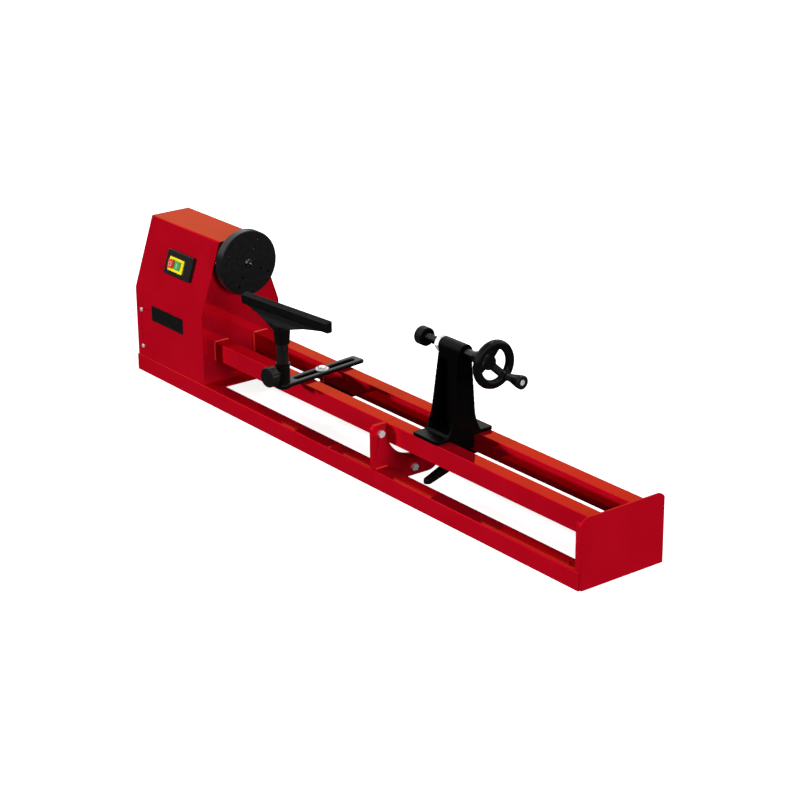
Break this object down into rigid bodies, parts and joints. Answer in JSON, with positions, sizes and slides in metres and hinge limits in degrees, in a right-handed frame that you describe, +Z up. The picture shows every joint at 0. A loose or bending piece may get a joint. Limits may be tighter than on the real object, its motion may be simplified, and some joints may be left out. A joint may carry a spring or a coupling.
{
  "type": "wood lathe",
  "caption": "Wood turning lathe: red folded-steel headstock and base, twin-tube bed bolted together in the middle, faceplate, slotted tool rest, tailstock with handwheel.",
  "frame": {"origin": "bench level under the joint where the two halves of the base are bolted together, on the centre plane of the bed", "axes": "+X along the bed from the headstock to the end plate, -Y towards the operator, +Z up"},
  "size_m": [1.4, 0.255, 0.3533],
  "materials": {
    "red_paint": "gloss",
    "black_paint": "satin",
    "zinc_plate": "satin",
    "bright_steel": "polished",
    "cast_aluminium": "satin",
    "black_plastic": "matte",
    "belt_rubber": "matte",
    "yellow_plastic": "gloss",
    "red_plastic": "gloss",
    "green_plastic": "gloss"
  },
  "bodies": {
    "frame": {"base_rail_front_left": "red_paint", "base_rail_front_right": "red_paint", "base_rail_rear_left": "red_paint", "base_rail_rear_right": "red_paint", "headstock_floor": "red_paint", "bed_tube_front_left": "red_paint", "bed_tube_front_right": "red_paint", "bed_tube_rear_left": "red_paint", "bed_tube_rear_right": "red_paint", "joint_plate_left": "red_paint", "joint_plate_right": "red_paint", "end_plate": "red_paint", "headstock_hood": "red_paint", "headstock_end_panel": "red_paint", "belt_cover": "red_paint", "joint_bolts": "zinc_plate", "joint_nuts": "zinc_plate", "hood_screws": "zinc_plate", "end_panel_screws": "zinc_plate", "motor_bolts": "zinc_plate", "housing_bolts": "zinc_plate", "spindle_bearing_front": "bright_steel", "spindle_bearing_rear": "bright_steel", "motor_stator": "bright_steel", "bearing_housing": "black_paint", "motor_bracket": "black_paint", "motor_can": "black_paint", "switch_box": "black_plastic", "cable_gland": "black_plastic", "name_plate": "black_plastic", "drive_belt": "belt_rubber", "switch_plate": "yellow_plastic"},
    "spindle": {"spindle_shaft": "bright_steel", "spindle_pulley": "cast_aluminium", "faceplate": "black_paint", "drive_centre": "bright_steel"},
    "rotor": {"motor_shaft": "bright_steel", "motor_rotor": "bright_steel", "motor_pulley": "cast_aluminium"},
    "start": {"start_button": "green_plastic"},
    "stop": {"stop_button": "red_plastic"},
    "rest_carriage": {"rest_clamp_plate": "black_paint", "rest_clamp_bolt": "zinc_plate"},
    "rest_swivel": {"rest_washer": "zinc_plate"},
    "rest_arm": {"banjo_arm": "black_paint"},
    "knob": {"lock_knob": "black_plastic"},
    "lift_collar": {"post_collar": "black_paint"},
    "rest_top": {"rest_post": "black_paint", "tool_rest": "black_paint"},
    "tailstock": {"tailstock_body": "black_paint", "tail_clamp_bolt": "zinc_plate", "tail_clamp_plate": "black_paint"},
    "lever": {"clamp_lever": "black_paint"},
    "nut": {"lock_nut": "zinc_plate"},
    "centre_carrier": {"centre_housing": "black_paint"},
    "live_centre": {"centre_point": "bright_steel"},
    "feed_screw": {"tail_screw": "bright_steel", "handwheel": "black_paint", "crank_pin": "bright_steel"},
    "grip": {"crank_grip": "black_plastic"}
  },
  "joints": [
    {"name": "spindle_spin", "type": "hinge", "parent": "frame", "child": "spindle", "pos_m": [-0.55, 0, 0.286], "axis": [1, 0, 0], "continuous": true},
    {"name": "motor_spin", "type": "hinge", "parent": "frame", "child": "rotor", "pos_m": [-0.7, 0, 0.178], "axis": [1, 0, 0], "continuous": true},
    {"name": "start_press", "type": "slide", "parent": "frame", "child": "start", "axis": [0, 0.949, -0.3153], "range_m": [0, 0.0025], "stiffness_N_per_m": 800},
    {"name": "stop_press", "type": "slide", "parent": "frame", "child": "stop", "axis": [0, 0.949, -0.3153], "range_m": [0, 0.0035], "stiffness_N_per_m": 800},
    {"name": "rest_travel", "type": "slide", "parent": "frame", "child": "rest_carriage", "axis": [1, 0, 0], "range_m": [-0.08, 0.1]},
    {"name": "rest_swing", "type": "hinge", "parent": "rest_carriage", "child": "rest_swivel", "pos_m": [-0.287, 0, 0.13], "axis": [0, 0, 1], "range_deg": [-12, 12]},
    {"name": "rest_reach", "type": "slide", "parent": "rest_swivel", "child": "rest_arm", "axis": [0.1132, -0.9936, 0], "range_m": [-0.01, 0.06]},
    {"name": "knob_turn", "type": "hinge", "parent": "rest_arm", "child": "knob", "pos_m": [-0.27551, -0.10085, 0.148], "axis": [0.1132, -0.9936, 0], "continuous": true},
    {"name": "post_lift", "type": "slide", "parent": "rest_arm", "child": "lift_collar", "axis": [0, 0, 1], "range_m": [0, 0.03]},
    {"name": "rest_turn", "type": "hinge", "parent": "lift_collar", "child": "rest_top", "pos_m": [-0.27551, -0.10085, 0.2], "axis": [0, 0, 1], "range_deg": [-30, 30]},
    {"name": "tail_travel", "type": "slide", "parent": "frame", "child": "tailstock", "axis": [1, 0, 0], "range_m": [-0.02, 0.3]},
    {"name": "clamp_swing", "type": "hinge", "parent": "tailstock", "child": "lever", "pos_m": [0.1195, 0, 0.066], "axis": [0, 0, 1], "range_deg": [-60, 60]},
    {"name": "nut_turn", "type": "hinge", "parent": "tailstock", "child": "nut", "pos_m": [0.0895, 0, 0.286], "axis": [-1, 0, 0], "range_deg": [0, 90]},
    {"name": "quill_feed", "type": "slide", "parent": "tailstock", "child": "centre_carrier", "axis": [-1, 0, 0], "range_m": [-0.018, 0.025]},
    {"name": "handwheel_turn", "type": "hinge", "parent": "centre_carrier", "child": "feed_screw", "pos_m": [0.2335, 0, 0.286], "axis": [-1, 0, 0], "range_deg": [-3240, 4500]},
    {"name": "live_centre_spin", "type": "hinge", "parent": "centre_carrier", "child": "live_centre", "pos_m": [0.0225, 0, 0.286], "axis": [1, 0, 0], "continuous": true},
    {"name": "grip_spin", "type": "hinge", "parent": "feed_screw", "child": "grip", "pos_m": [0.2635, 0.02387, 0.2604], "axis": [1, 0, 0], "continuous": true}
  ],
  "couplings": [
    {"joint": "motor_spin", "follows": "spindle_spin", "ratio": 1.3182},
    {"joint": "quill_feed", "follows": "handwheel_turn", "m_per_rad": 0.00031831}
  ]
}
